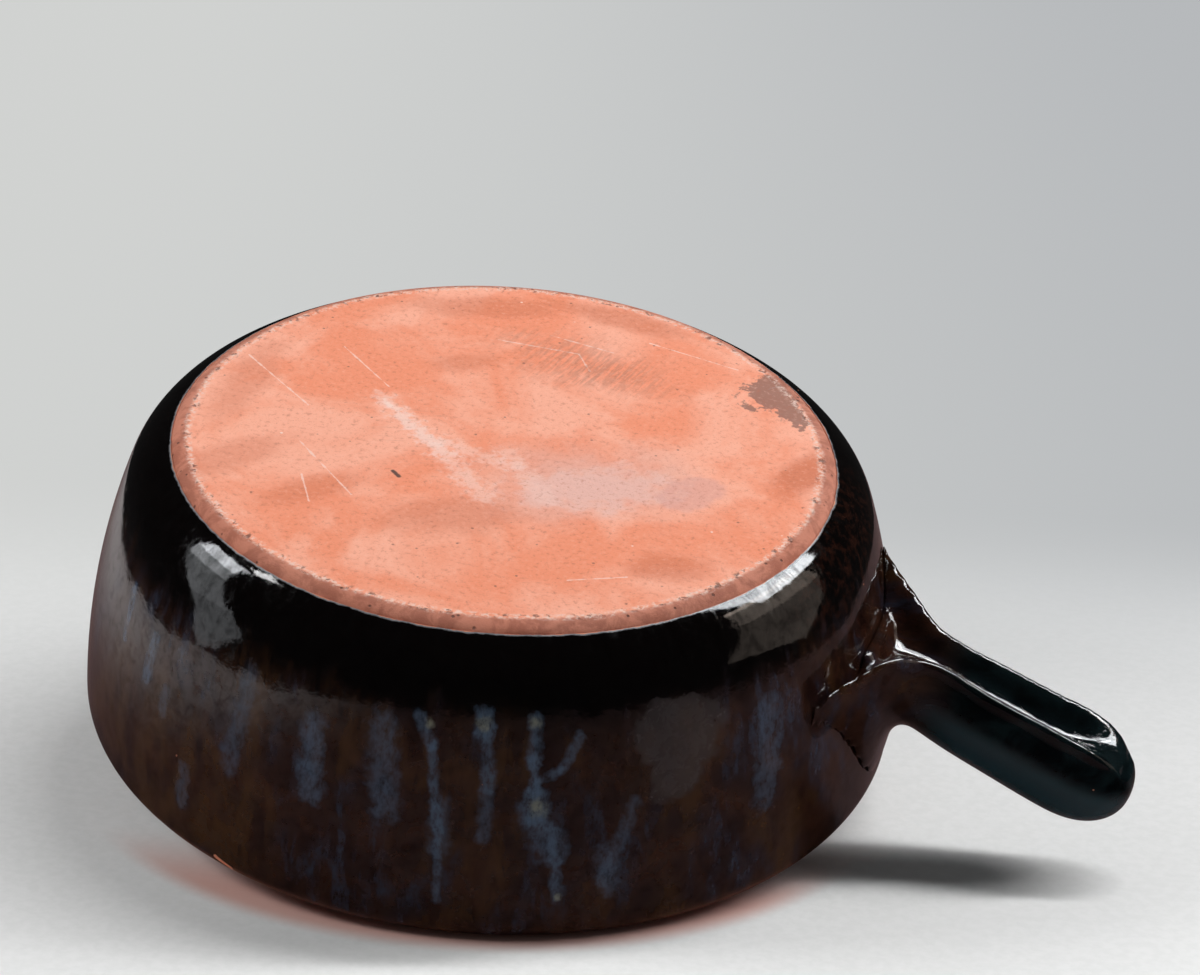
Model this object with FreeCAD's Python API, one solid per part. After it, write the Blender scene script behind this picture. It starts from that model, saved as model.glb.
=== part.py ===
import FreeCAD, Part
import math
import os

from FreeCAD import Vector

# A low, round earthenware cooking pot with a short grooved handle.
# It stands on its bare clay base: Z points up, the handle points along X,
# and the origin is the middle of the base. All sizes are in millimetres.

# Bowl
body_radius = 115.0
base_inset = 26.8
bevel_width = 4.2
bevel_height = 2.6
bevel_bulge = 0.7
widest_height = 80.0
shoulder_round = 21.0
wall_curve = 200.0
wall_thickness = 8.0
floor_thickness = 9.0
inside_corner = 24.0

# Glaze
glaze_thickness = 0.4
bare_lip_angle = 64.0

# Handle: where it runs, counted from the wall's widest circle
handle_reach = 75.5
grip_reach = 14.4
lean_reach = 25.0
ridge_below_rim = 46.3
ridge_start_angle = 20.25
ridge_sag = 2.87
end_round_length = 20.4
end_turn = 76.0

# Handle: its section
grip_half_width_root = 10.6
grip_half_width_tip = 12.5
grip_depth_root = 25.8
grip_depth_tip = 29.0
ridge_inset = 3.2
ridge_side_height = 3.4
groove_depth = 6.5
groove_end_gap = 7.5
groove_end_run = 16.0

# Handle: the curves of its section, as powers and shares
grip_roundness = 2.7
root_roundness = 1.9
end_roundness = 2.3
section_middle = 0.42
groove_flank = 0.52
groove_flank_depth = 0.72

# Handle: how it spreads on to the wall
root_depth = 14.0
root_overlap = 5.0
wing_near = 45.0
wing_far = 34.0
wing_curve = 1.5
wing_lift_reach = 4.0
wing_lift_near = 13.5
wing_lift_far = 1.5
neck_reach = 11.5
neck_root_reach = 1.0
neck_top_margin = 2.0
mouth_depth = 10.0

# Luting coil, pressed into the corner between the wall and the groove's mouth
coil_radius = 3.4
coil_half_length = 13.0
coil_end_round = 2.0
coil_drop = 2.2

# Sizes that follow from the ones above
base_flat_radius = body_radius - base_inset
handle_tip = body_radius + handle_reach
grip_start = body_radius + grip_reach
grip_length = handle_reach - grip_reach
lean_end = body_radius + lean_reach
groove_end = handle_tip - groove_end_gap
ridge_height = widest_height - ridge_below_rim
wing_root = body_radius - root_depth
wing_lift_start = body_radius + wing_lift_reach
neck_start = body_radius + neck_reach
neck_root = body_radius + neck_root_reach


def point(centre, radius, degrees):
    angle = math.radians(degrees)
    return Vector(centre[0] + radius * math.cos(angle), 0, centre[1] + radius * math.sin(angle))


def arc(centre, radius, start, end):
    middle = 0.5 * (start + end)
    curve = Part.Arc(
        point(centre, radius, start), point(centre, radius, middle), point(centre, radius, end)
    )
    return curve.toShape()


def line(start, end):
    return Part.LineSegment(start, end).toShape()


def direction(start, end):
    return math.degrees(math.atan2(end[1] - start[1], end[0] - start[0]))


def revolved(edges):
    # the turn starts on the side away from the handle, so no seam runs under it
    face = Part.Face(Part.Wire(Part.__sortEdges__(edges)))
    face.rotate(Vector(0, 0, 0), Vector(0, 0, 1), 180)
    return face.revolve(Vector(0, 0, 0), Vector(0, 0, 1), 360)


# Centres of the bowl's arcs, each tangent to the next
glaze_line = (base_flat_radius + bevel_width, bevel_height)
wall_centre = (body_radius - wall_curve, widest_height)
lip_radius = 0.5 * wall_thickness
lip_centre = (body_radius - lip_radius, widest_height)
lip_top_angle = 90.0
inner_curve = wall_curve - wall_thickness


def shoulder_place():
    # the circle that touches the wall's arc from inside and ends at the glaze line
    reach = wall_curve - shoulder_round
    across = glaze_line[0] - wall_centre[0]
    down = glaze_line[1] - wall_centre[1]
    span = math.hypot(across, down)
    along = (reach ** 2 - shoulder_round ** 2 + span ** 2) / (2 * span)
    aside = math.sqrt(reach ** 2 - along ** 2)
    return (
        wall_centre[0] + (along * across - aside * down) / span,
        wall_centre[1] + (along * down + aside * across) / span,
    )


shoulder_centre = shoulder_place()
shoulder_join = direction(wall_centre, shoulder_centre)
shoulder_start = direction(shoulder_centre, glaze_line)

inside_height = floor_thickness + inside_corner
inside_reach = inner_curve - inside_corner
inside_centre = (
    wall_centre[0] + math.sqrt(inside_reach ** 2 - (inside_height - widest_height) ** 2),
    inside_height,
)
inside_join = direction(wall_centre, inside_centre)


def outer_line(skin, lip_end):
    return [
        arc(shoulder_centre, shoulder_round + skin, shoulder_start, shoulder_join),
        arc(wall_centre, wall_curve + skin, shoulder_join, 0),
        arc(lip_centre, lip_radius + skin, 0, lip_end),
    ]


def inner_line(skin, lip_start):
    floor = floor_thickness + skin
    return [
        arc(lip_centre, lip_radius + skin, lip_start, 180),
        arc(wall_centre, inner_curve - skin, 0, inside_join),
        arc(inside_centre, inside_corner - skin, inside_join, -90),
        line(Vector(inside_centre[0], 0, floor), Vector(0, 0, floor)),
    ]


def bowl_clay():
    foot = Vector(base_flat_radius, 0, 0)
    edge = Vector(glaze_line[0], 0, glaze_line[1])
    slope = math.hypot(bevel_width, bevel_height)
    bulge = Vector(bevel_height, 0, -bevel_width) * (bevel_bulge / slope)
    bevel = Part.Arc(foot, (foot + edge) * 0.5 + bulge, edge).toShape()
    base = line(Vector(0, 0, 0), foot)
    axis = line(Vector(0, 0, floor_thickness), Vector(0, 0, 0))
    outside = outer_line(0, lip_top_angle)
    inside = inner_line(0, lip_top_angle)
    return revolved([base, bevel] + outside + inside + [axis])


def bowl_filled():
    # the bowl as one lump with no hollow, to trim what is fixed to its wall
    top = point(lip_centre, lip_radius, lip_top_angle)
    start = point(shoulder_centre, shoulder_round, shoulder_start)
    sides = [
        line(top, Vector(0, 0, top.z)),
        line(Vector(0, 0, top.z), Vector(0, 0, start.z)),
        line(Vector(0, 0, start.z), start),
    ]
    return revolved(outer_line(0, lip_top_angle) + sides)


def outer_coat():
    foot = [
        point(shoulder_centre, shoulder_round, shoulder_start),
        point(shoulder_centre, shoulder_round + glaze_thickness, shoulder_start),
    ]
    lip = [
        point(lip_centre, lip_radius, bare_lip_angle),
        point(lip_centre, lip_radius + glaze_thickness, bare_lip_angle),
    ]
    inside = outer_line(0, bare_lip_angle)
    outside = outer_line(glaze_thickness, bare_lip_angle)
    return revolved(inside + outside + [line(*foot), line(*lip)])


def inner_coat():
    start = 180 - bare_lip_angle
    lip = [
        point(lip_centre, lip_radius, start),
        point(lip_centre, lip_radius + glaze_thickness, start),
    ]
    axis = [Vector(0, 0, floor_thickness), Vector(0, 0, floor_thickness + glaze_thickness)]
    clay_side = inner_line(0, start)
    free_side = inner_line(glaze_thickness, start)
    return revolved(clay_side + free_side + [line(*lip), line(*axis)])


def share(value, start, end):
    return min(max((value - start) / (end - start), 0), 1)


def ridge_line(x):
    # the ridges rise from the wall on a straight line and sag below it towards the tip
    run = x - grip_start
    sag = ridge_sag * (run / grip_length) ** 2
    return ridge_height + run * math.tan(math.radians(ridge_start_angle)) - sag


def ridge_angle(x):
    # the sections stand upright at the wall and square to the ridges along the grip
    sag_slope = 2 * ridge_sag * (x - grip_start) / grip_length ** 2
    slope = math.atan(math.tan(math.radians(ridge_start_angle)) - sag_slope)
    return slope * share(x, neck_root, lean_end)


def wing_width(x, wing):
    along = share(x, grip_start, handle_tip)
    grip = grip_half_width_root + (grip_half_width_tip - grip_half_width_root) * along
    spread = share(x, grip_start, wing_root) ** wing_curve
    return grip + (wing - grip_half_width_root) * spread


def neck_depth(x):
    along = share(x, grip_start, handle_tip)
    grip = grip_depth_root + (grip_depth_tip - grip_depth_root) * along
    rim = widest_height - neck_top_margin
    return grip + (rim - ridge_line(x) - grip) * share(x, neck_start, neck_root) ** 2


def groove(x):
    fade = 1 - share(x, groove_end - groove_end_run, groove_end) ** 2
    mouth = (mouth_depth - groove_depth) * share(x, grip_start, neck_root)
    return groove_depth * fade + mouth


def handle_section(x, closing, skin):
    # the section across the handle: a rounded back and two ridges beside a groove
    ridge = ridge_line(x)
    depth = neck_depth(x)
    hollow = groove(x)
    roundness = grip_roundness
    roundness += (root_roundness - grip_roundness) * share(x, grip_start, neck_root)
    middle = section_middle * depth
    angle = ridge_angle(x)
    rise_share = share(x, wing_lift_start, wing_root)
    lifts = (wing_lift_near * rise_share, wing_lift_far * rise_share)
    widths = (wing_width(x, wing_near) * closing + skin, wing_width(x, wing_far) * closing + skin)
    inset = ridge_inset * closing

    def settle(across, up, lift=0):
        # up is measured square to the ridges; the end closes round the middle
        up = middle + (up - middle) * closing
        return Vector(x - up * math.sin(angle), across, ridge + lift + up * math.cos(angle))

    points = []
    for step in range(7):
        turn = math.radians(30 * step)
        side = widths[0] if step < 3 else widths[1]
        across = side * abs(math.cos(turn)) ** (2 / roundness)
        rise = (depth - ridge_side_height) * math.sin(turn) ** (2 / roundness)
        if step > 3:
            across = -across
        if step == 3:
            across = 0
        cover = skin if 0 < step < 6 else 0
        lift = lifts[0] if step < 3 else lifts[1]
        lift = lift * (1 - math.sin(turn))
        points.append(settle(across, ridge_side_height + rise + cover, lift))
    crests = (widths[0] - inset - skin, widths[1] - inset - skin)
    flank = hollow * groove_flank_depth - skin
    points.append(settle(-crests[1], -skin, lifts[1]))
    points.append(settle(-crests[1] * groove_flank, flank, lifts[1] * groove_flank))
    points.append(settle(0, hollow - skin))
    points.append(settle(crests[0] * groove_flank, flank, lifts[0] * groove_flank))
    points.append(settle(crests[0], -skin, lifts[0]))
    # evenly spaced knots, so that every section joins the next point to point
    knots = [step / len(points) for step in range(len(points) + 1)]
    curve = Part.BSplineCurve()
    curve.interpolate(Points=points, Parameters=knots, PeriodicFlag=True)
    return Part.Wire(curve.toShape())


def handle_form(skin):
    tip = handle_tip + skin
    round_start = handle_tip - end_round_length
    sections = []
    inner_end = wing_root - root_overlap
    root_steps = 7
    for step in range(root_steps + 1):
        x = inner_end + (grip_start - inner_end) * step / root_steps
        sections.append(handle_section(x, 1, skin))
    for x in (lean_end, 0.5 * (lean_end + round_start)):
        sections.append(handle_section(x, 1, skin))
    # the sections crowd together towards the tip, where the end closes fastest
    end_steps = 5
    for step in range(end_steps + 1):
        part = math.sin(math.radians(end_turn) * step / end_steps)
        closing = (1 - part ** end_roundness) ** (1 / end_roundness)
        x = round_start + (tip - round_start) * part
        sections.append(handle_section(x, closing, skin * closing))
    return Part.makeLoft(sections, True, False)


def luting_coil(skin):
    # a roll of clay bent round the wall, with rounded ends
    height = ridge_line(neck_root) + mouth_depth - coil_drop
    wall = math.sqrt(wall_curve ** 2 - (height - widest_height) ** 2) + wall_centre[0]
    circle = Part.Circle(Vector(wall, 0, height), Vector(0, 1, 0), coil_radius + skin)
    half_turn = math.degrees((coil_half_length + skin) / wall)
    end = Part.Face(Part.Wire(circle.toShape()))
    end.rotate(Vector(0, 0, 0), Vector(0, 0, 1), -half_turn)
    roll = end.revolve(Vector(0, 0, 0), Vector(0, 0, 1), 2 * half_turn)
    rims = [cap.OuterWire.Edges[0] for cap in roll.Faces if cap.Surface.TypeId == "Part::GeomPlane"]
    return roll.makeFillet(coil_end_round, rims)


def export(shape, name):
    if not shape.isValid():
        raise ValueError(name + " is not a valid solid")
    shape.exportStep("parts/" + name + ".step")
    print(name, len(shape.Solids), "solids", round(shape.Volume), "mm3")


def build():
    os.makedirs("parts", exist_ok=True)
    bowl = bowl_clay()
    trim = bowl_filled()
    handle = handle_form(0)
    coil = luting_coil(0)
    clay_handle = handle.cut(trim)
    clay_coil = coil.cut(trim).cut(clay_handle)
    covered = handle_form(glaze_thickness)
    covered_coil = luting_coil(glaze_thickness)
    # each form is trimmed to the wall first, so that what is cut next is small and clean
    covering = covered.cut(trim).fuse(covered_coil.cut(trim))
    handle_coat = covering.cut(clay_handle).cut(clay_coil)
    bowl_coat = outer_coat().cut(covered).cut(covered_coil)

    export(bowl, "clay_bowl")
    export(clay_handle, "clay_handle")
    export(clay_coil, "luting_coil")
    export(bowl_coat, "outer_glaze")
    export(inner_coat(), "inner_glaze")
    export(handle_coat, "handle_glaze")


build()
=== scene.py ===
import math

import bpy
from mathutils import Matrix, Vector


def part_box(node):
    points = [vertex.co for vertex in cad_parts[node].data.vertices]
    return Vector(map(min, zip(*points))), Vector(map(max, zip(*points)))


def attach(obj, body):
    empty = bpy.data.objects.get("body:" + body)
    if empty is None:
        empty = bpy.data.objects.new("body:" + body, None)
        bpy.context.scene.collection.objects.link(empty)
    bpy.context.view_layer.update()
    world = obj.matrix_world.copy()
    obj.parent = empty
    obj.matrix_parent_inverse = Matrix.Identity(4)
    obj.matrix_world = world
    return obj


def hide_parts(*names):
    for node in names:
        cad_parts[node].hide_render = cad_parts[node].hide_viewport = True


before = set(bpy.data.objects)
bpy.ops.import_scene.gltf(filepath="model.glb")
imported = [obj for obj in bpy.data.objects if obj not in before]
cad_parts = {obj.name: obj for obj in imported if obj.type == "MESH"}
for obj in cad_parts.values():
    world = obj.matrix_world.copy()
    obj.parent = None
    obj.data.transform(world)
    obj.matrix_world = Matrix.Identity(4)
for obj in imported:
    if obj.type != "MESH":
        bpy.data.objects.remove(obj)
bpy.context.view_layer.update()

# The pot stands upright on its bare base, as in the solids. The photograph shows it turned
# over and tilted, resting on its rim, so the camera looks up at it from below its base.
# Sizes are in metres.
mm = 0.001

bowl_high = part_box("clay_bowl")[1]
body_radius = bowl_high.y
pot_height = bowl_high.z
wall_thickness = 8 * mm
lip_radius = wall_thickness / 2
widest_height = pot_height - lip_radius
wall_curve = 200 * mm
shoulder_round = 21 * mm
glaze_line_radius = body_radius - 22.6 * mm
glaze_line_height = 2.6 * mm
inside_corner = 24 * mm
floor_thickness = 9 * mm
glaze_thickness = 0.4 * mm
bare_lip_angle = 64


# Camera

camera_place = Vector((0.2612, 0.8384, -0.5268))
camera_turn = (-121.66, 4.14, -18.09)
camera_lens = 110.6


def add_camera():
    bpy.ops.object.camera_add(
        location=camera_place, rotation=[math.radians(turn) for turn in camera_turn]
    )
    camera = bpy.context.object
    camera.name = "photo_camera"
    camera.data.lens = camera_lens
    camera.data.clip_start = 0.05
    camera.data.clip_end = 20
    bpy.context.scene.camera = camera


# Small helpers for modelling

def start_clean():
    if bpy.context.object and bpy.context.object.mode != "OBJECT":
        bpy.ops.object.mode_set(mode="OBJECT")
    bpy.ops.object.select_all(action="DESELECT")


def choose(piece):
    start_clean()
    piece.select_set(True)
    bpy.context.view_layer.objects.active = piece


def apply_modifier(piece, kind, **settings):
    choose(piece)
    modifier = piece.modifiers.new(kind.title(), kind)
    for name, value in settings.items():
        setattr(modifier, name, value)
    bpy.ops.object.modifier_apply(modifier=modifier.name)


def settle(piece, name):
    choose(piece)
    bpy.ops.object.transform_apply(location=True, rotation=True, scale=True)
    piece.name = name
    piece.data.name = name


def smooth(piece, angle=180):
    choose(piece)
    bpy.ops.object.shade_smooth_by_angle(angle=math.radians(angle))


def copy_node(node):
    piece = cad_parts[node].copy()
    piece.data = piece.data.copy()
    piece.parent = None
    for key in list(piece.keys()):
        del piece[key]
    bpy.context.scene.collection.objects.link(piece)
    choose(piece)
    bpy.ops.object.mode_set(mode="EDIT")
    bpy.ops.mesh.select_all(action="SELECT")
    bpy.ops.mesh.remove_doubles(threshold=0.002 * mm)
    bpy.ops.object.mode_set(mode="OBJECT")
    return piece


# Shape of the wall

def arc_points(centre, radius, start, end, count):
    points = []
    for step in range(count + 1):
        angle = math.radians(start + (end - start) * step / count)
        points.append((centre[0] + radius * math.cos(angle), centre[1] + radius * math.sin(angle)))
    return points


def direction(start, end):
    return math.degrees(math.atan2(end[1] - start[1], end[0] - start[0]))


wall_centre = (body_radius - wall_curve, widest_height)
lip_centre = (body_radius - lip_radius, widest_height)
inner_curve = wall_curve - wall_thickness


def shoulder_place():
    reach = wall_curve - shoulder_round
    across = glaze_line_radius - wall_centre[0]
    down = glaze_line_height - wall_centre[1]
    span = math.hypot(across, down)
    along = (reach ** 2 - shoulder_round ** 2 + span ** 2) / (2 * span)
    aside = math.sqrt(reach ** 2 - along ** 2)
    return (
        wall_centre[0] + (along * across - aside * down) / span,
        wall_centre[1] + (along * down + aside * across) / span,
    )


shoulder_centre = shoulder_place()
shoulder_join = direction(wall_centre, shoulder_centre)
shoulder_start = direction(shoulder_centre, (glaze_line_radius, glaze_line_height))

inside_height = floor_thickness + inside_corner
inside_reach = inner_curve - inside_corner
inside_centre = (
    wall_centre[0] + math.sqrt(inside_reach ** 2 - (inside_height - widest_height) ** 2),
    inside_height,
)
inside_join = direction(wall_centre, inside_centre)


def outer_profile(skin, lip_end):
    foot = arc_points(shoulder_centre, shoulder_round + skin, shoulder_start, shoulder_join, 10)
    wall = arc_points(wall_centre, wall_curve + skin, shoulder_join, 0, 16)
    lip = arc_points(lip_centre, lip_radius + skin, 0, lip_end, 5)
    return foot + wall[1:] + lip[1:]


def inner_profile(skin, lip_start):
    lip = arc_points(lip_centre, lip_radius + skin, lip_start, 180, 5)
    wall = arc_points(wall_centre, inner_curve - skin, 0, inside_join, 14)
    corner = arc_points(inside_centre, inside_corner - skin, inside_join, -90, 8)
    floor_height = floor_thickness + skin
    floor = [(radius * mm, floor_height) for radius in (60, 45, 30, 15, 5)]
    return lip + wall[1:] + corner[1:] + floor


around = 144


def raise_rings(name, profile):
    """A round wall, made from a circle that is extruded and scaled ring by ring."""
    start_clean()
    radius, height = profile[0]
    bpy.ops.mesh.primitive_circle_add(vertices=around, radius=radius, location=(0, 0, height))
    piece = bpy.context.object
    bpy.ops.object.mode_set(mode="EDIT")
    bpy.ops.mesh.select_all(action="SELECT")
    for next_radius, next_height in profile[1:]:
        bpy.ops.mesh.extrude_region_move(
            TRANSFORM_OT_translate={"value": (0, 0, next_height - height)}
        )
        ratio = next_radius / radius
        bpy.ops.transform.resize(value=(ratio, ratio, 1))
        radius, height = next_radius, next_height
    bpy.ops.object.mode_set(mode="OBJECT")
    settle(piece, name)
    return piece


def turn_faces_out(piece, outward):
    """Makes the faces of an open sheet look along the given way, told by one face."""
    choose(piece)
    face = piece.data.polygons[len(piece.data.polygons) // 2]
    if face.normal.dot(outward(face.center)) < 0:
        bpy.ops.object.mode_set(mode="EDIT")
        bpy.ops.mesh.select_all(action="SELECT")
        bpy.ops.mesh.flip_normals()
        bpy.ops.object.mode_set(mode="OBJECT")


# Glaze coats on the bowl

coat_depth = 0.5 * mm


def make_outer_glaze():
    piece = raise_rings("glaze_outside", outer_profile(glaze_thickness, bare_lip_angle))
    turn_faces_out(piece, lambda centre: Vector((centre.x, centre.y, 0)))
    apply_modifier(piece, "SUBSURF", levels=1, render_levels=1)
    apply_modifier(piece, "SOLIDIFY", thickness=coat_depth, offset=-1)
    smooth(piece, 60)
    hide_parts("outer_glaze")
    return piece


def make_inner_glaze():
    piece = raise_rings("glaze_inside", inner_profile(glaze_thickness, 180 - bare_lip_angle))
    choose(piece)
    bpy.ops.object.mode_set(mode="EDIT")
    bpy.ops.mesh.merge(type="CENTER")
    bpy.ops.object.mode_set(mode="OBJECT")
    turn_faces_out(piece, lambda centre: Vector((-centre.x, -centre.y, 0.05)))
    apply_modifier(piece, "SUBSURF", levels=1, render_levels=1)
    apply_modifier(piece, "SOLIDIFY", thickness=coat_depth, offset=-1)
    smooth(piece, 60)
    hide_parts("inner_glaze")
    return piece


# Handle

backing_half_angle = 27
backing_depth = 3.5 * mm
backing_sink = 0.25 * mm
backing_foot = 12 * mm
backing_steps = 48
melt_size = 1.28 * mm
melt_rounds = 10
crest_melt_rounds = 50
grip_melt_rounds = 16
grip_melt_start = 117 * mm
grip_melt_run = 10 * mm
ridge_start = Vector((129.4, 0, 33.7)) * mm
ridge_slope = math.tan(math.radians(20.25))
ridge_sag = 2.87 * mm
ridge_run = 61.1 * mm
ridge_side_height = 3.4 * mm
flank_height = 14 * mm
flank_fall = 2.2 * mm
crest_height = 3.2 * mm
crest_swell = 0.9 * mm
crest_core = 0.4 * crest_height
crest_reach = 1.6 * crest_height
flank_turned_in = 0.1
flank_turned_out = 0.7
grip_end = 172 * mm


def make_wall_backing():
    """A strip of the wall behind the handle, so that the two melt into one another."""
    profile = outer_profile(glaze_thickness - backing_sink, 0)
    front = [point for point in profile if point[1] > backing_foot]
    back = [(radius - backing_depth, height) for radius, height in reversed(front)]
    loop = front + back
    start_clean()
    bpy.ops.mesh.primitive_circle_add(vertices=len(loop), radius=mm)
    piece = bpy.context.object
    turn = math.radians(-backing_half_angle)
    for vertex, (radius, height) in zip(piece.data.vertices, loop):
        vertex.co = (radius * math.cos(turn), radius * math.sin(turn), height)
    bpy.ops.object.mode_set(mode="EDIT")
    bpy.ops.mesh.select_all(action="SELECT")
    bpy.ops.mesh.edge_face_add()
    bpy.ops.mesh.spin(
        steps=backing_steps,
        angle=math.radians(2 * backing_half_angle),
        center=(0, 0, 0),
        axis=(0, 0, 1),
    )
    bpy.ops.mesh.select_all(action="SELECT")
    bpy.ops.mesh.remove_doubles(threshold=0.01 * mm)
    bpy.ops.mesh.normals_make_consistent(inside=False)
    bpy.ops.object.mode_set(mode="OBJECT")
    return piece


def share(value, start, end):
    return min(max((value - start) / (end - start), 0), 1)


def weigh(piece, name, weight):
    group = piece.vertex_groups.new(name=name)
    for vertex in piece.data.vertices:
        group.add([vertex.index], weight(vertex), "REPLACE")


def grip_weight(vertex):
    return share(vertex.co.x, grip_melt_start, grip_melt_start + grip_melt_run)


def depth_under_ridges(vertex):
    run = vertex.co.x - ridge_start.x
    ridge = ridge_start.z + run * ridge_slope - ridge_sag * (run / ridge_run) ** 2
    return (vertex.co.z - ridge) * math.cos(math.atan(ridge_slope))


def crest_weight(vertex):
    away = share(abs(depth_under_ridges(vertex)), crest_core, crest_reach)
    return (1 - away) * grip_weight(vertex)


def flank_weight(vertex):
    """1 just outside the ridges, 0 at their crests, in the groove and halfway down the flanks."""
    depth = depth_under_ridges(vertex)
    outward = max(vertex.normal.y * math.copysign(1, vertex.co.y), vertex.normal.x)
    near_crest = share(depth, 0, ridge_side_height)
    below = 1 - share(depth, ridge_side_height, flank_height)
    turned = share(outward, flank_turned_in, flank_turned_out)
    return near_crest * below ** 2 * turned * grip_weight(vertex)


def make_handle():
    parts = [copy_node(node) for node in ("handle_glaze", "clay_handle", "luting_coil")]
    parts.append(make_wall_backing())
    start_clean()
    for part in parts:
        part.select_set(True)
    bpy.context.view_layer.objects.active = parts[0]
    bpy.ops.object.join()
    piece = bpy.context.object
    apply_modifier(piece, "REMESH", mode="VOXEL", voxel_size=melt_size)
    apply_modifier(piece, "SMOOTH", factor=0.5, iterations=melt_rounds)
    weigh(piece, "flank", flank_weight)
    apply_modifier(piece, "DISPLACE", strength=-flank_fall, mid_level=0, vertex_group="flank")
    weigh(piece, "crest", crest_weight)
    apply_modifier(piece, "DISPLACE", strength=crest_swell, mid_level=0, vertex_group="crest")
    apply_modifier(piece, "SMOOTH", factor=0.5, iterations=crest_melt_rounds, vertex_group="crest")
    weigh(piece, "grip", grip_weight)
    apply_modifier(piece, "SMOOTH", factor=0.5, iterations=grip_melt_rounds, vertex_group="grip")
    apply_modifier(piece, "SUBSURF", levels=1, render_levels=1)
    smooth(piece)
    settle(piece, "glazed_handle")
    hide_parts("handle_glaze", "clay_handle", "luting_coil")
    return piece


# Materials

class Finish:
    """A material that is put together from named steps."""

    def __init__(self, name):
        self.material = bpy.data.materials.new(name)
        self.material.use_nodes = True
        self.tree = self.material.node_tree
        self.tree.nodes.clear()
        self.shader = self.add("ShaderNodeBsdfPrincipled")
        self.output = self.add("ShaderNodeOutputMaterial")
        self.show(self.shader.outputs[0])
        self.place = self.add("ShaderNodeTexCoord").outputs["Object"]

    def add(self, kind):
        return self.tree.nodes.new(kind)

    def show(self, shader):
        self.tree.links.new(shader, self.output.inputs["Surface"])

    def put(self, socket, value):
        if isinstance(value, bpy.types.NodeSocket):
            self.tree.links.new(value, socket)
        elif hasattr(value, "__len__") and len(value) == 3 and len(socket.default_value) == 4:
            socket.default_value = (*value, 1)
        else:
            socket.default_value = value

    def set(self, **values):
        for name, value in values.items():
            self.put(self.shader.inputs[name.replace("_", " ")], value)

    def sum(self, operation, first, second=0.0):
        node = self.add("ShaderNodeMath")
        node.operation = operation
        self.put(node.inputs[0], first)
        self.put(node.inputs[1], second)
        return node.outputs[0]

    def times(self, *values):
        result = values[0]
        for value in values[1:]:
            result = self.sum("MULTIPLY", result, value)
        return result

    def most(self, *values):
        result = values[0]
        for value in values[1:]:
            result = self.sum("MAXIMUM", result, value)
        return result

    def unless(self, value):
        return self.sum("SUBTRACT", 1, value)

    def between(self, value, low, high):
        """0 below low, 1 above high, smooth between; it falls where low is above high."""
        node = self.add("ShaderNodeMapRange")
        node.interpolation_type = "SMOOTHSTEP"
        node.inputs["From Min"].default_value = min(low, high)
        node.inputs["From Max"].default_value = max(low, high)
        node.inputs["To Min"].default_value = 0 if low < high else 1
        node.inputs["To Max"].default_value = 1 if low < high else 0
        self.put(node.inputs["Value"], value)
        return node.outputs["Result"]

    def axes(self, where=None):
        node = self.add("ShaderNodeSeparateXYZ")
        self.put(node.inputs[0], where or self.place)
        return node.outputs

    def vector(self, x, y, z=0.0):
        node = self.add("ShaderNodeCombineXYZ")
        for socket, value in zip(node.inputs, (x, y, z)):
            self.put(socket, value)
        return node.outputs[0]

    def local(self, centre, turn=0, size=(1, 1, 1), where=None):
        """Coordinates measured from a centre, along turned axes, in units of size."""
        node = self.add("ShaderNodeMapping")
        node.vector_type = "TEXTURE"
        node.inputs["Location"].default_value = centre
        node.inputs["Rotation"].default_value = (0, 0, math.radians(turn))
        node.inputs["Scale"].default_value = size
        self.put(node.inputs["Vector"], where or self.place)
        return node.outputs[0]

    def noise(self, size, detail=3, roughness=0.5, warp=0.0, where=None, turn=0, stretch=(1, 1, 1)):
        """Noise whose blotches are about size across, 0 to 1, centred on 0.5."""
        node = self.add("ShaderNodeTexNoise")
        node.inputs["Scale"].default_value = 1
        node.inputs["Detail"].default_value = detail
        node.inputs["Roughness"].default_value = roughness
        node.inputs["Distortion"].default_value = warp
        scales = [size * factor for factor in stretch]
        self.put(node.inputs["Vector"], self.local((0, 0, 0), turn, scales, where))
        return node.outputs["Fac"]

    def specks(self, spacing, radius, where=None, chance=0.5):
        """Small dots, one in some of the cells of a random pattern."""
        node = self.add("ShaderNodeTexVoronoi")
        node.inputs["Scale"].default_value = 1
        self.put(node.inputs["Vector"], self.local((0, 0, 0), 0, (spacing,) * 3, where))
        dot = self.between(node.outputs["Distance"], radius / spacing, 0.5 * radius / spacing)
        pick = self.between(self.axes(node.outputs["Color"])[0], chance + 0.01, chance)
        return self.times(dot, pick)

    def length(self, vector):
        node = self.add("ShaderNodeVectorMath")
        node.operation = "LENGTH"
        self.put(node.inputs[0], vector)
        return node.outputs["Value"]

    def blend(self, amount, first, second):
        node = self.add("ShaderNodeMix")
        node.data_type = "RGBA"
        for name, value in (("Factor_Float", amount), ("A_Color", first), ("B_Color", second)):
            self.put(next(socket for socket in node.inputs if socket.identifier == name), value)
        return next(socket for socket in node.outputs if socket.identifier == "Result_Color")

    def stirred(self, reach, ragged, grain, where):
        stir = self.sum("SUBTRACT", self.noise(grain, 3, 0.6, 0, where), 0.5)
        return self.sum("ADD", reach, self.sum("MULTIPLY", stir, ragged))

    def patch(self, centre, size, turn=0, soft=0.6, ragged=0.0, grain=8 * mm, where=None):
        """1 inside an ellipse, fading to 0 at its edge, which may be ragged."""
        spot = self.local((*centre, 0), turn, (*size, 1), where)
        x, y, _ = self.axes(spot)
        reach = self.stirred(self.length(self.vector(x, y)), ragged, grain, where)
        return self.between(reach, 1, 1 - soft)

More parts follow.
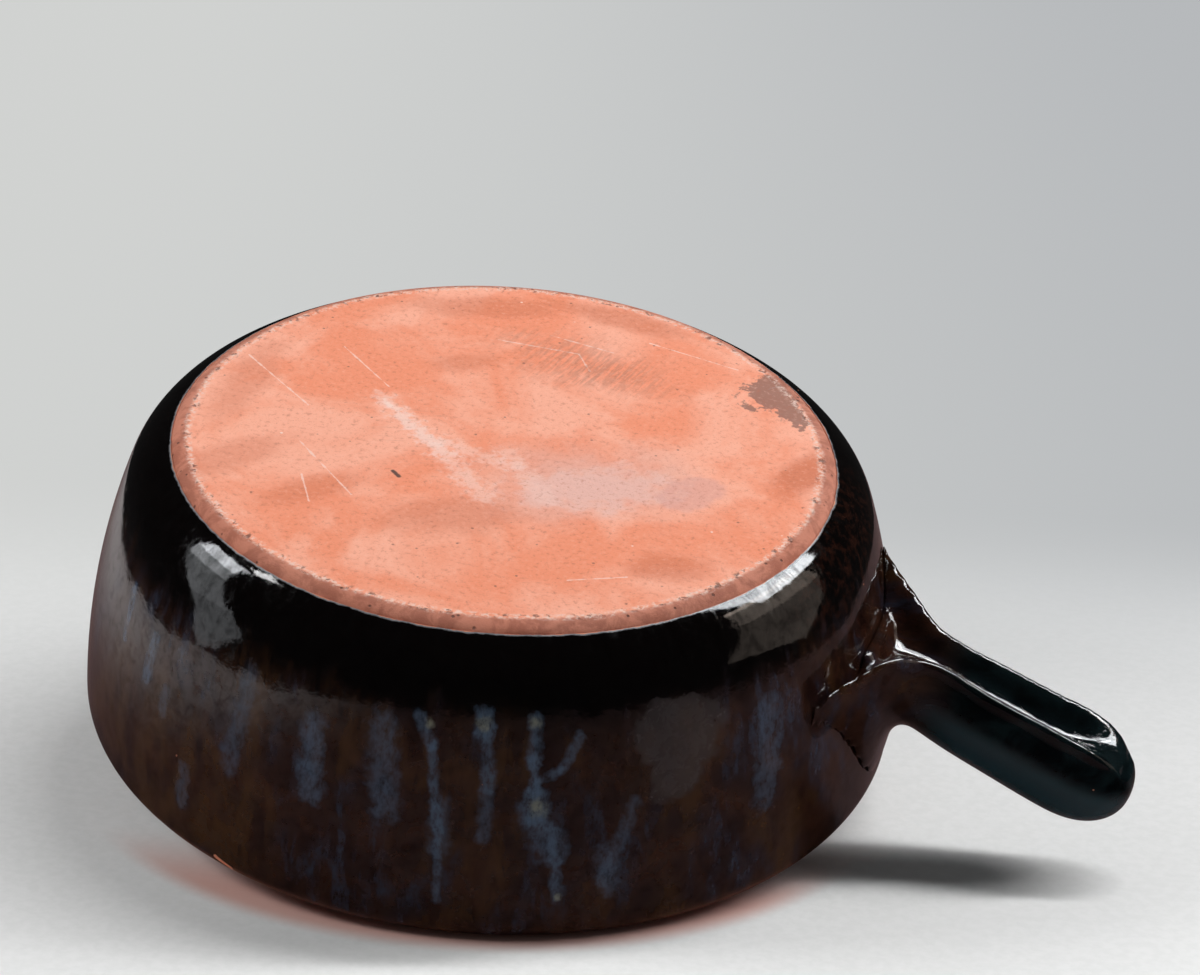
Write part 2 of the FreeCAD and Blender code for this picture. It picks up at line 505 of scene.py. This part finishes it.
    def stroke(self, start, end, width, soft=0.7, ragged=0.6, grain=3 * mm, where=None):
        """1 along a line from start to end, fading to 0 at its edge."""
        run = math.hypot(end[0] - start[0], end[1] - start[1])
        turn = math.degrees(math.atan2(end[1] - start[1], end[0] - start[0]))
        middle = (0.5 * (start[0] + end[0]), 0.5 * (start[1] + end[1]), 0)
        x, y, _ = self.axes(self.local(middle, turn, (1, 1, 1), where))
        beyond = self.sum("MAXIMUM", self.sum("SUBTRACT", self.sum("ABSOLUTE", x), run / 2), 0)
        reach = self.sum("DIVIDE", self.length(self.vector(beyond, y)), width / 2)
        reach = self.stirred(reach, ragged, grain, where)
        return self.between(reach, 1, 1 - soft)

    def relief(self, height, depth, strength=1.0, under=None):
        node = self.add("ShaderNodeBump")
        node.inputs["Strength"].default_value = strength
        node.inputs["Distance"].default_value = depth
        self.put(node.inputs["Height"], height)
        if under:
            self.put(node.inputs["Normal"], under)
        return node.outputs["Normal"]


def on_base(*places):
    return [(x * mm, y * mm) for x, y in places]


def on_wall(*places):
    """Places on the unrolled wall, from degrees round the pot and millimetres above its base."""
    return [(math.radians(angle) * body_radius, height * mm) for angle, height in places]


# Marks on the base: places and sizes in millimetres, turns in degrees, strengths from 0 to 1

burnt_patches = (
    ((81, -17), (10, 19), 15, 1),
    ((60, 43), (15, 10), 150, 0.7),
    ((0, 42), (30, 13), 150, 0.6),
    ((-66, 40), (10, 26), 35, 0.5),
    ((-78, 0), (9, 34), 0, 0.5),
    ((-30, -70), (34, 9), 160, 0.6),
    ((8, -80), (30, 8), 5, 0.7),
    ((-26, -36), (16, 7), 150, 0.5),
    ((-40, 46), (20, 8), 130, 0.5),
)
smears = (
    ((-40, -8), (-14, 13), 9, 0.45),
    ((-33, -2), (-18, 10), 7, 0.5),
    ((-14, 13), (4, 30), 11, 0.4),
    ((-16, 8), (6, 12), 9, 0.35),
    ((2, 6), (20, 24), 10, 0.3),
    ((-39, -7), (-36, -4), 2, 0.8),
)
scratches = (
    ((-83, -14), (-57, 5)),
    ((-52, 24), (-29, 44)),
    ((-21, -53), (3, -55)),
    ((3, -55), (9, -47)),
    ((-60, -30), (-40, -14)),
    ((59, -59), (66, -68)),
    ((20, -70), (48, -66)),
    ((-8, -62), (12, -60)),
    ((-45, 40), (-38, 52)),
    ((38, 60), (52, 52)),
)
foot_radius = body_radius - 26.8 * mm


def burn(clay, colour):
    """Burnt orange patches."""
    for centre, size, turn, strength in burnt_patches:
        sides = [side * mm for side in size]
        orange = clay.patch(*on_base(centre), sides, turn, 0.7, 0.8, 13 * mm)
        colour = clay.blend(clay.times(orange, 0.85 * strength), colour, (0.58, 0.16, 0.075))
    return colour


def cloud_over(clay, colour):
    """The pale cloud in the middle and the mauve stain beside it."""
    cloud = clay.patch(*on_base((28, 10)), (44 * mm, 30 * mm), 150, 0.9, 1.1, 20 * mm)
    colour = clay.blend(clay.times(cloud, 0.75), colour, (0.71, 0.385, 0.31))
    bloom = clay.patch(*on_base((30, 14)), (30 * mm, 15 * mm), 150, 0.6, 1.8, 7 * mm)
    colour = clay.blend(clay.times(bloom, 0.5), colour, (0.74, 0.5, 0.46))
    mauve = clay.patch(*on_base((55, 5)), (9 * mm, 13 * mm), 30, 0.3, 0.9, 9 * mm)
    return clay.blend(clay.times(mauve, 0.5), colour, (0.62, 0.31, 0.27))


def smear_and_scratch(clay, colour):
    """A chalky smear and long thin scratches."""
    for start, end, width, strength in smears:
        smear = clay.stroke(*on_base(start, end), width * mm, 1, 3.2, 3 * mm)
        colour = clay.blend(clay.times(smear, strength), colour, (0.86, 0.62, 0.55))
    for start, end in scratches:
        scratch = clay.stroke(*on_base(start, end), 0.7 * mm, 1, 3.4, 3 * mm)
        colour = clay.blend(clay.times(scratch, 0.75), colour, (0.87, 0.62, 0.54))
    return colour


def brush_and_stain(clay, colour):
    """Dark brushed streaks, a grey brown stain by the edge and a nick."""
    brush = clay.noise(1.5 * mm, 4, 0.7, 0.2, None, 100, (9, 1, 1))
    brushed = clay.patch(*on_base((8, -50)), (38 * mm, 20 * mm), 10, 0.9, 1.2, 14 * mm)
    streaks = clay.times(brushed, clay.between(brush, 0.38, 0.6), 0.6)
    colour = clay.blend(streaks, colour, (0.42, 0.18, 0.12))
    cross = clay.noise(1.4 * mm, 3, 0.6, 0, None, -20, (10, 1, 1))
    crossed = clay.patch(*on_base((-22, 4)), (36 * mm, 20 * mm), 40, 0.9, 0.8, 12 * mm)
    streaks = clay.times(crossed, clay.between(cross, 0.55, 0.7), 0.35)
    colour = clay.blend(streaks, colour, (0.5, 0.24, 0.17))
    stain = clay.most(
        clay.patch(*on_base((61, -59)), (12 * mm, 8 * mm), 100, 0.2, 2.6, 5 * mm),
        clay.patch(*on_base((68, -50)), (10 * mm, 4 * mm), 60, 0.2, 2.6, 4 * mm),
    )
    colour = clay.blend(clay.times(stain, 0.8), colour, (0.2, 0.11, 0.09))
    nick = clay.stroke(*on_base((-23, 28), (-20.5, 30)), 1.6 * mm, 0.5, 0.5, 1 * mm)
    return clay.blend(nick, colour, (0.1, 0.05, 0.04))


def add_grain(clay, colour, fine, grit):
    """Pale and dark grain, pits and chalk specks."""
    colour = clay.blend(clay.times(clay.between(fine, 0.5, 0.72), 0.3), colour, (0.86, 0.47, 0.36))
    colour = clay.blend(clay.times(clay.between(fine, 0.47, 0.3), 0.5), colour, (0.44, 0.14, 0.085))
    colour = clay.blend(clay.times(clay.between(grit, 0.6, 0.7), 0.4), colour, (0.36, 0.13, 0.08))
    pits = clay.specks(5 * mm, 0.5 * mm, None, 0.35)
    colour = clay.blend(clay.times(pits, 0.7), colour, (0.2, 0.08, 0.06))
    chalk = clay.specks(9 * mm, 0.55 * mm, clay.local((3, 7, 5)), 0.3)
    return clay.blend(clay.times(chalk, 0.8), colour, (0.88, 0.7, 0.62))


def wear_foot(clay, colour, radius):
    """The browner bevel, partly painted shade, and the scuffed edge of the foot; also gives its chips and
    holes.
    """
    bevel = clay.between(radius, foot_radius - 0.6 * mm, foot_radius + 0.9 * mm)
    worn = clay.noise(7 * mm, 4, 0.7, 0.5)
    # the bevel's dark brown is partly the clay's own colour and partly painted shade, as the bevel turns
    # from the light
    bevel_colour_and_shade = clay.blend(clay.between(worn, 0.4, 0.6), (0.33, 0.11, 0.07), (0.5, 0.19, 0.125))
    colour = clay.blend(clay.times(bevel, 0.9), colour, bevel_colour_and_shade)
    sway = clay.sum("SUBTRACT", clay.noise(20 * mm, 3, 0.6), 0.5)
    from_edge = clay.sum("SUBTRACT", radius, foot_radius - 0.4 * mm)
    from_edge = clay.sum("ABSOLUTE", clay.sum("ADD", from_edge, clay.times(sway, 3 * mm)))
    edge = clay.between(from_edge, 1.8 * mm, 0.2 * mm)
    scuff = clay.times(edge, clay.between(clay.noise(1.6 * mm, 4, 0.8), 0.45, 0.6))
    colour = clay.blend(clay.times(scuff, 0.75), colour, (0.78, 0.6, 0.52))
    flakes = clay.noise(3 * mm, 3, 0.7, 0, clay.local((1, 2, 3)))
    chipped = clay.times(edge, clay.between(flakes, 0.56, 0.64))
    colour = clay.blend(clay.times(chipped, 0.8), colour, (0.14, 0.07, 0.055))
    holes = clay.times(bevel, clay.specks(3.2 * mm, 0.6 * mm, None, 0.5))
    colour = clay.blend(clay.times(holes, 0.8), colour, (0.1, 0.045, 0.035))
    return colour, clay.sum("ADD", chipped, holes)


def fired_clay():
    clay = Finish("fired_clay")
    x, y, _ = clay.axes()
    mottle = clay.noise(34 * mm, 4, 0.55, 0.6)
    fine = clay.noise(1.7 * mm, 4, 0.7)
    grit = clay.noise(0.5 * mm, 2, 0.6)
    colour = clay.blend(clay.between(mottle, 0.38, 0.62), (0.81, 0.27, 0.15), (0.86, 0.39, 0.27))
    for mark in (burn, cloud_over, smear_and_scratch, brush_and_stain):
        colour = mark(clay, colour)
    colour = add_grain(clay, colour, fine, grit)
    colour, damage = wear_foot(clay, colour, clay.length(clay.vector(x, y)))
    clay.set(Base_Color=colour, Roughness=0.85, Specular_IOR_Level=0.25)
    coarse = clay.relief(mottle, 1.2 * mm, 0.25)
    rough = clay.relief(fine, 0.25 * mm, 0.6, coarse)
    worn_edge = clay.relief(damage, -0.4 * mm, 0.8, rough)
    clay.set(Normal=clay.relief(grit, 0.1 * mm, 0.5, worn_edge))
    return clay.material


# Runs of pale blue glaze and their yellowish heads: degrees round the pot, millimetres above
# its base, width in millimetres, strength from 0 to 1

glaze_runs = (
    ((82, 20.5), (80, 28), 5, 0.6),
    ((80, 28), (78.2, 50), 4.2, 0.62),
    ((78.2, 50), (77.7, 72), 3.6, 0.5),
    ((78, 44), (78, 56), 9, 0.35),
    ((73, 19), (73, 23), 8, 0.75),
    ((72.5, 22), (72, 38), 5, 0.5),
    ((72, 34), (72.2, 52), 6, 0.4),
    ((66, 19), (66, 31), 5.6, 0.65),
    ((66, 30), (65.6, 40), 4.6, 0.7),
    ((65.4, 40), (65, 47), 9, 0.7),
    ((66, 44), (63, 56), 12, 0.5),
    ((63, 50), (62, 70), 5, 0.55),
    ((65.4, 35.5), (62.2, 33), 4, 0.6),
    ((62.2, 33), (59.6, 24), 4.4, 0.55),
    ((97, 30), (96, 48), 11, 0.5),
    ((87, 25), (85.5, 47), 12, 0.42),
    ((128, 32), (128, 44), 7, 0.5),
    ((137, 26), (136, 40), 5, 0.5),
    ((123, 42), (123, 48), 6, 0.3),
    ((56, 58), (55, 68), 9, 0.35),
    ((52, 44), (56, 66), 6, 0.35),
    ((117, 60), (117, 70), 7, 0.3),
    ((30, 30), (31, 52), 14, 0.35),
    ((108, 24), (109, 50), 9, 0.3),
)
run_heads = (((73, 21), 3), ((66, 20), 2.4), ((65.2, 43), 3.6), ((80.5, 22), 2), ((61.9, 70), 1.6))


def glaze_body(glaze, wall, height, blotch, cloudy, brown_share):
    """Black and thick by the foot, then thinner, so that brown and blue show through; the step to brown is
    partly a painted reflection of the paper.
    """
    streak = glaze.noise(6 * mm, 4, 0.6, 0.4, wall, 0, (1, 3.5, 1))
    wide = glaze.noise(26 * mm, 3, 0.5, 0.5, wall, 0, (1, 1.6, 1))
    rise = glaze.sum("ADD", height, glaze.times(glaze.sum("SUBTRACT", streak, 0.5), 22 * mm))
    # partly the glaze thinning, partly a painted reflection of the paper on the wall towards the rim
    thin_glaze_and_painted_reflection = glaze.between(rise, 14 * mm, 30 * mm)
    brown = glaze.blend(glaze.between(blotch, 0.34, 0.7), (0.009, 0.0035, 0.003), (0.026, 0.01, 0.0055))
    umber = glaze.times(glaze.between(wide, 0.46, 0.6), glaze.between(streak, 0.36, 0.62))
    brown = glaze.blend(glaze.times(umber, 0.6), brown, (0.045, 0.021, 0.008))
    blue = glaze.times(
        glaze.between(streak, 0.44, 0.68), glaze.between(wide, 0.56, 0.42), glaze.between(cloudy, 0.3, 0.6)
    )
    mixed = glaze.blend(glaze.times(blue, 0.8 - 0.6 * brown_share), brown, (0.022, 0.028, 0.045))
    return glaze.blend(thin_glaze_and_painted_reflection, (0.0016, 0.001, 0.001), mixed)


def let_glaze_run(glaze, colour, wall, cloudy):
    """Runs of pale blue glaze, as they show on the wall, with yellowish heads."""
    for start, end, width, strength in glaze_runs:
        run = glaze.stroke(*on_wall(start, end), width * mm, 0.8, 1.5, 4 * mm, wall)
        run = glaze.times(run, glaze.between(cloudy, 0.2, 0.66), strength)
        colour = glaze.blend(run, colour, (0.07, 0.105, 0.16))
    for place, size in run_heads:
        head = glaze.patch(*on_wall(place), (size * mm, size * mm), 0, 0.9, 1.2, 2.5 * mm, wall)
        head = glaze.times(head, glaze.between(cloudy, 0.25, 0.6), 0.8)
        colour = glaze.blend(head, colour, (0.17, 0.17, 0.13))
    return colour


def matt_patch(glaze, wall):
    """A matt grey brown patch."""
    return glaze.most(
        glaze.patch(*on_wall((45, 27)), (17 * mm, 10 * mm), -12, 0.3, 1.3, 8 * mm, wall),
        glaze.patch(*on_wall((46, 38)), (9 * mm, 8 * mm), 20, 0.3, 1.3, 7 * mm, wall),
    )


def tint_handle(glaze, colour, blotch, grip, radius, angle, depth):
    """The handle's glaze is thicker and bluer, with a brown flush at its root and a painted teal
    reflection low on its flanks.
    """
    teal = glaze.blend(glaze.between(blotch, 0.4, 0.62), (0.001, 0.002, 0.0025), (0.004, 0.0085, 0.0095))
    colour = glaze.blend(grip, colour, teal)
    root = glaze.times(
        glaze.between(radius, body_radius + 12 * mm, body_radius - 1 * mm),
        glaze.between(glaze.sum("ABSOLUTE", angle), 0.42, 0.2),
        glaze.between(glaze.noise(3 * mm, 4, 0.7), 0.47, 0.62),
    )
    colour = glaze.blend(glaze.times(root, 0.25), colour, (0.05, 0.015, 0.008))
    # painted teal reflection of the paper on the lower flanks
    low = glaze.times(grip, glaze.between(depth, 9 * mm, 15 * mm))
    return glaze.blend(low, colour, (0.016, 0.031, 0.037))


def under_ridges(glaze, x, z):
    """How far up from the line of the handle's ridges, which is down in the photograph."""
    run = glaze.sum("SUBTRACT", x, ridge_start.x)
    sag = glaze.times(run, run, ridge_sag / ridge_run ** 2)
    ridge = glaze.sum("SUBTRACT", glaze.sum("ADD", glaze.times(run, ridge_slope), ridge_start.z), sag)
    return glaze.sum("SUBTRACT", z, ridge)


def flanks_painted_dark(glaze, x, y, grip, depth):
    """The flanks just outside the ridges, where the glaze's reflection is turned down to paint a dark
    band.
    """
    beyond = glaze.most(glaze.sum("ABSOLUTE", y), glaze.sum("SUBTRACT", x, grip_end))
    return glaze.times(
        grip,
        glaze.between(depth, 2 * mm, 4 * mm),
        glaze.between(depth, 14 * mm, 8 * mm),
        glaze.between(beyond, 7 * mm, 9 * mm),
    )


def glaze_flaws(glaze, colour, wall, radius, height):
    """Bare clay along the ragged glaze line, its pale bluish edge, a chip and pinholes."""
    ragged = glaze.times(glaze.sum("SUBTRACT", glaze.noise(5 * mm, 5, 0.7), 0.5), 1.6 * mm)
    line = glaze.sum("SUBTRACT", glaze.sum("ADD", radius, ragged), glaze_line_radius)
    underneath = glaze.between(height, 6 * mm, 4 * mm)
    pale = glaze.times(glaze.between(line, 0.75 * mm, 0.3 * mm), underneath)
    colour = glaze.blend(glaze.times(pale, 0.6), colour, (0.3, 0.3, 0.32))
    bare = glaze.times(glaze.between(line, 0.25 * mm, 0.1 * mm), underneath)
    chip = glaze.stroke(*on_wall((110, 80.5), (107.5, 82)), 1.6 * mm, 0.3, 1.2, 1.5 * mm, wall)
    pinholes = glaze.specks(8 * mm, 0.35 * mm, None, 0.3)
    fault = glaze.most(bare, chip, glaze.times(pinholes, 0.7))
    return glaze.blend(fault, colour, (0.55, 0.2, 0.11)), fault, pale


def dark_glaze(name, brown_share):
    glaze = Finish(name)
    x, y, z = glaze.axes()
    radius = glaze.length(glaze.vector(x, y))
    angle = glaze.sum("ARCTAN2", y, x)
    wall = glaze.vector(glaze.times(angle, body_radius), z)
    blotch = glaze.noise(13 * mm, 5, 0.62, 0.9)
    cloudy = glaze.noise(2.2 * mm, 4, 0.75, 0, wall, 0, (1, 1.8, 1))
    colour = glaze_body(glaze, wall, z, blotch, cloudy, brown_share)
    colour = let_glaze_run(glaze, colour, wall, cloudy)
    patch = matt_patch(glaze, wall)
    colour = glaze.blend(glaze.times(patch, 0.55), colour, (0.05, 0.04, 0.04))
    grip = glaze.between(radius, body_radius + 8 * mm, body_radius + 24 * mm)
    depth = under_ridges(glaze, x, z)
    colour = tint_handle(glaze, colour, blotch, grip, radius, angle, depth)
    flank = flanks_painted_dark(glaze, x, y, grip, depth)
    colour, fault, pale = glaze_flaws(glaze, colour, wall, radius, z)

    gloss = glaze.noise(4 * mm, 5, 0.65, 0.5, wall)
    shine = glaze.sum("ADD", 0.2, glaze.times(glaze.between(gloss, 0.3, 0.64), 0.32))
    # reflection turned down on the flanks just outside the ridges: a painted dark band
    glaze.set(Specular_IOR_Level=glaze.times(shine, glaze.unless(glaze.times(flank, 0.92))))
    roughness = glaze.sum("ADD", 0.045, glaze.times(glaze.between(gloss, 0.45, 0.75), 0.12))
    dull = glaze.most(glaze.times(fault, 0.6), glaze.times(patch, 0.22), glaze.times(pale, 0.3))
    glaze.set(Base_Color=colour, Roughness=glaze.sum("ADD", roughness, dull))
    sway = glaze.noise(20 * mm, 2, 0.4)
    dimple = glaze.noise(5 * mm, 4, 0.6)
    pitted = glaze.times(grip, glaze.between(glaze.noise(2 * mm, 4, 0.8), 0.56, 0.7))
    waves = glaze.relief(sway, 0.5 * mm, 0.4, glaze.relief(dimple, 0.1 * mm, 0.4))
    glaze.set(Normal=glaze.relief(pitted, 0.12 * mm, 0.3, waves))
    return glaze.material


# Stage

# Three sheets share the studio. The table is level with the pot's base, has another sheet just
# beneath it and shows in views from above. The photograph's paper touches the turned-over rim
# at one point and is tilted, as the pot is tilted there. Light Path's transparent depth tells
# which one a ray sees: a camera below the base looks through the clear undersides of the table
# and of the sheet beneath it.

paper_down = Vector((0.089, 0.194, 0.977)).normalized()
paper_right = Vector((0.953, -0.301, -0.027)).normalized()
paper_back = paper_right.cross(paper_down).normalized()
rim_angle = math.atan2(paper_down.y, paper_down.x)
rim_middle = Vector(
    (lip_centre[0] * math.cos(rim_angle), lip_centre[0] * math.sin(rim_angle), widest_height)
)
contact = rim_middle + paper_down * (lip_radius + glaze_thickness)
clearance = 0.5 * mm
looks_through = 1.5
table_size = 9
paper_size = 6
pot_centre_on_paper = (-14 * mm, 108 * mm, 0)


def on_paper(right, back, up):
    return contact + paper_right * right + paper_back * back - paper_down * up


def light_path(finish, name):
    return finish.add("ShaderNodeLightPath").outputs[name]


def from_below(finish):
    return finish.sum("GREATER_THAN", light_path(finish, "Transparent Depth"), looks_through)


def show_where(finish, seen, shader):
    clear = finish.add("ShaderNodeBsdfTransparent")
    mix = finish.add("ShaderNodeMixShader")
    finish.put(mix.inputs[0], seen)
    finish.tree.links.new(clear.outputs[0], mix.inputs[1])
    finish.tree.links.new(shader, mix.inputs[2])
    finish.show(mix.outputs[0])


def table_finish():
    table = Finish("table_paper")
    table.set(Base_Color=(0.78, 0.78, 0.77), Roughness=0.9, Specular_IOR_Level=0.1)
    underside = table.add("ShaderNodeNewGeometry").outputs["Backfacing"]
    hidden = table.most(from_below(table), underside)
    show_where(table, table.unless(hidden), table.shader.outputs[0])
    return table.material


def along(paper, axis):
    """The distance from the rim's contact along one axis of the paper."""
    node = paper.add("ShaderNodeVectorMath")
    node.operation = "DOT_PRODUCT"
    paper.put(node.inputs[0], paper.local(tuple(contact)))
    node.inputs[1].default_value = axis
    return node.outputs["Value"]


def paper_finish():
    paper = Finish("tilted_paper")
    right, back = (along(paper, axis) for axis in (paper_right, paper_back))
    tooth = paper.noise(3 * mm, 3, 0.6)

    # reflections see a dimmer, warmer paper that ends not far behind the pot
    glossy = light_path(paper, "Is Glossy Ray")
    dim = paper.blend(paper.between(right, -0.16, -0.34), (0.14, 0.088, 0.088), (0.75, 0.7, 0.7))
    pale = paper.blend(paper.between(tooth, 0.3, 0.7), (0.77, 0.775, 0.77), (0.81, 0.812, 0.81))
    reach = paper.length(paper.local(tuple(on_paper(*pot_centre_on_paper))))
    # a painted reddish glow of light bounced from the clay, on the paper near the rim
    painted_bounce = paper.times(paper.between(reach, 0.121, 0.112), paper.between(back, 0.06, 0.02), 0.7)
    lit = paper.blend(painted_bounce, paper.blend(glossy, pale, dim), (0.62, 0.25, 0.18))
    paper.set(Base_Color=lit, Roughness=0.9, Specular_IOR_Level=0.1)
    hidden = paper.times(glossy, paper.between(reach, 0.42, 0.434))

    # far behind the pot the backdrop glows in the tones of the photograph's studio, a painted light that
    # is lighter at the left than at the right
    far = paper.add("ShaderNodeEmission")
    painted_light_tone = paper.blend(paper.between(right, -0.25, 0.4), (0.635, 0.645, 0.635), (0.47, 0.485, 0.5))
    paper.put(far.inputs["Color"], painted_light_tone)
    mix = paper.add("ShaderNodeMixShader")
    camera = light_path(paper, "Is Camera Ray")
    paper.put(mix.inputs[0], paper.times(camera, paper.between(back, 0.1, 0.36)))
    paper.tree.links.new(paper.shader.outputs[0], mix.inputs[1])
    paper.tree.links.new(far.outputs[0], mix.inputs[2])
    seen = paper.times(from_below(paper), paper.unless(hidden))
    show_where(paper, seen, mix.outputs[0])
    return paper.material


def add_sheet(name, centre, normal, size, material):
    start_clean()
    bpy.ops.mesh.primitive_plane_add(size=size, location=centre)
    sheet = bpy.context.object
    sheet.name = name
    sheet.rotation_mode = "QUATERNION"
    sheet.rotation_quaternion = normal.to_track_quat("Z", "Y")
    bpy.ops.object.transform_apply(location=True, rotation=True, scale=True)
    sheet.data.materials.append(material)


def add_stage():
    upward = Vector((0, 0, 1))
    table = table_finish()
    add_sheet("table", -upward * clearance, upward, table_size, table)
    add_sheet("sheet_beneath", -upward * 2 * clearance, upward, table_size, table)
    add_sheet("paper", contact + paper_down * clearance, -paper_down, paper_size, paper_finish())


def add_lamp(name, place, size, radiance, rise=Vector((0, 0, 1)), facing=None):
    """A soft lamp that faces the pot, its strength given as the brightness of its face."""
    start_clean()
    bpy.ops.object.light_add(type="AREA", location=place)
    lamp = bpy.context.object
    lamp.name = name
    lamp.data.shape = "RECTANGLE"
    lamp.data.size, lamp.data.size_y = size
    lamp.data.energy = radiance * math.pi * size[0] * size[1]
    facing = facing or (Vector((0, 0, pot_height / 2)) - place).normalized()
    across = facing.cross(rise).normalized()
    turn = Matrix((across, across.cross(facing), -facing)).transposed()
    lamp.rotation_mode = "QUATERNION"
    lamp.rotation_quaternion = turn.to_quaternion()
    lamp.visible_camera = False
    return lamp


def add_reflection(name, place, size, radiance, colour=(1, 1, 1), **turned):
    """A lamp that only the glaze mirrors."""
    lamp = add_lamp(name, place, size, radiance, **turned)
    lamp.data.color = colour
    lamp.visible_diffuse = False


def add_fill(name, place, size, radiance, rise=Vector((0, 0, 1))):
    """A lamp that lights the pot and isn't mirrored in it."""
    lamp = add_lamp(name, place, size, radiance, rise)
    lamp.visible_glossy = False


softbox_distance = 0.7
softbox_back = 0.085
softbox_height = 0.46
softbox_rise = Vector((0, 0.29, 0.957))


def add_softbox(name, side, width, length, colour, bands):
    """A mirrored softbox beside the pot that leans back, in bands from its top downwards."""
    centre = Vector((softbox_distance * side, softbox_back, softbox_height))
    top = centre + softbox_rise * length / 2
    upward = on_paper(*softbox_rise) - contact
    for index, (share_of_length, radiance) in enumerate(bands):
        height = length * share_of_length
        add_reflection(
            f"{name}_{index + 1}",
            on_paper(*(top - softbox_rise * height / 2)),
            (width, height),
            radiance,
            colour,
            rise=upward,
            facing=-side * paper_right,
        )
        top = top - softbox_rise * height


def add_lights():
    warm_bands = ((0.1, 5), (0.36, 1.5), (0.54, 0.55))
    cool_bands = ((0.28, 13), (0.2, 4.5), (0.34, 1.7), (0.18, 1.1))
    add_softbox("right_softbox", 1, 0.41, 0.9, (1, 0.84, 0.72), warm_bands)
    add_softbox("left_softbox", -1, 0.2, 1.02, (0.93, 0.96, 1), cool_bands)
    add_reflection("right_edge", on_paper(0.36, 0.33, 0.82), (0.3, 0.07), 24)
    add_reflection("left_bulb", on_paper(-0.49, 0.117, 0.82), (0.08, 0.08), 16)
    add_reflection(
        "overhead_softbox", on_paper(0.6, 0.44, 1.3), (1.1, 0.5), 16, (0.93, 0.97, 1), rise=-paper_back
    )
    add_fill("overhead_strip", on_paper(0.62, 0.25, 1.3), (1.1, 0.1), 35, -paper_back)
    add_fill("left_side", on_paper(-0.85, -0.03, 0.6), (0.3, 0.3), 20)
    add_fill("right_side", on_paper(0.85, 0.15, 0.6), (0.3, 0.3), 14)
    add_lamp("upright_key", Vector((-0.8, -0.8, 1.1)), (0.7, 0.7), 13)
    add_lamp("upright_fill", Vector((0.9, 0.5, 0.9)), (0.7, 0.7), 6)


world_fill = 0.1
world_mirrored = 0.015
world_seen = 0.7


def add_world():
    """Pale for the camera, a soft fill on the pot, and nearly dark in its reflections."""
    world = bpy.data.worlds.new("studio")
    bpy.context.scene.world = world
    world.use_nodes = True
    tree = world.node_tree
    background = next(node for node in tree.nodes if node.type == "BACKGROUND")
    background.inputs["Color"].default_value = (0.98, 0.99, 1, 1)
    path = tree.nodes.new("ShaderNodeLightPath")
    strength = world_fill
    for ray, seen in (("Is Glossy Ray", world_mirrored), ("Is Camera Ray", world_seen)):
        node = tree.nodes.new("ShaderNodeMapRange")
        tree.links.new(path.outputs[ray], node.inputs["Value"])
        node.inputs["To Max"].default_value = seen
        if isinstance(strength, float):
            node.inputs["To Min"].default_value = strength
        else:
            tree.links.new(strength, node.inputs["To Min"])
        strength = node.outputs["Result"]
    tree.links.new(strength, background.inputs["Strength"])
    bpy.context.scene.view_settings.view_transform = "Standard"


# Putting the pot together

def dress(piece, material):
    piece.data.materials.clear()
    piece.data.materials.append(material)
    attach(piece, "root")


clay = fired_clay()
glaze = dark_glaze("dark_glaze", 0)
brown_glaze = dark_glaze("brown_glaze", 1)
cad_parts["clay_bowl"].material_slots[0].material = clay
dress(make_outer_glaze(), glaze)
dress(make_inner_glaze(), brown_glaze)
dress(make_handle(), glaze)

add_camera()
add_stage()
add_lights()
add_world()
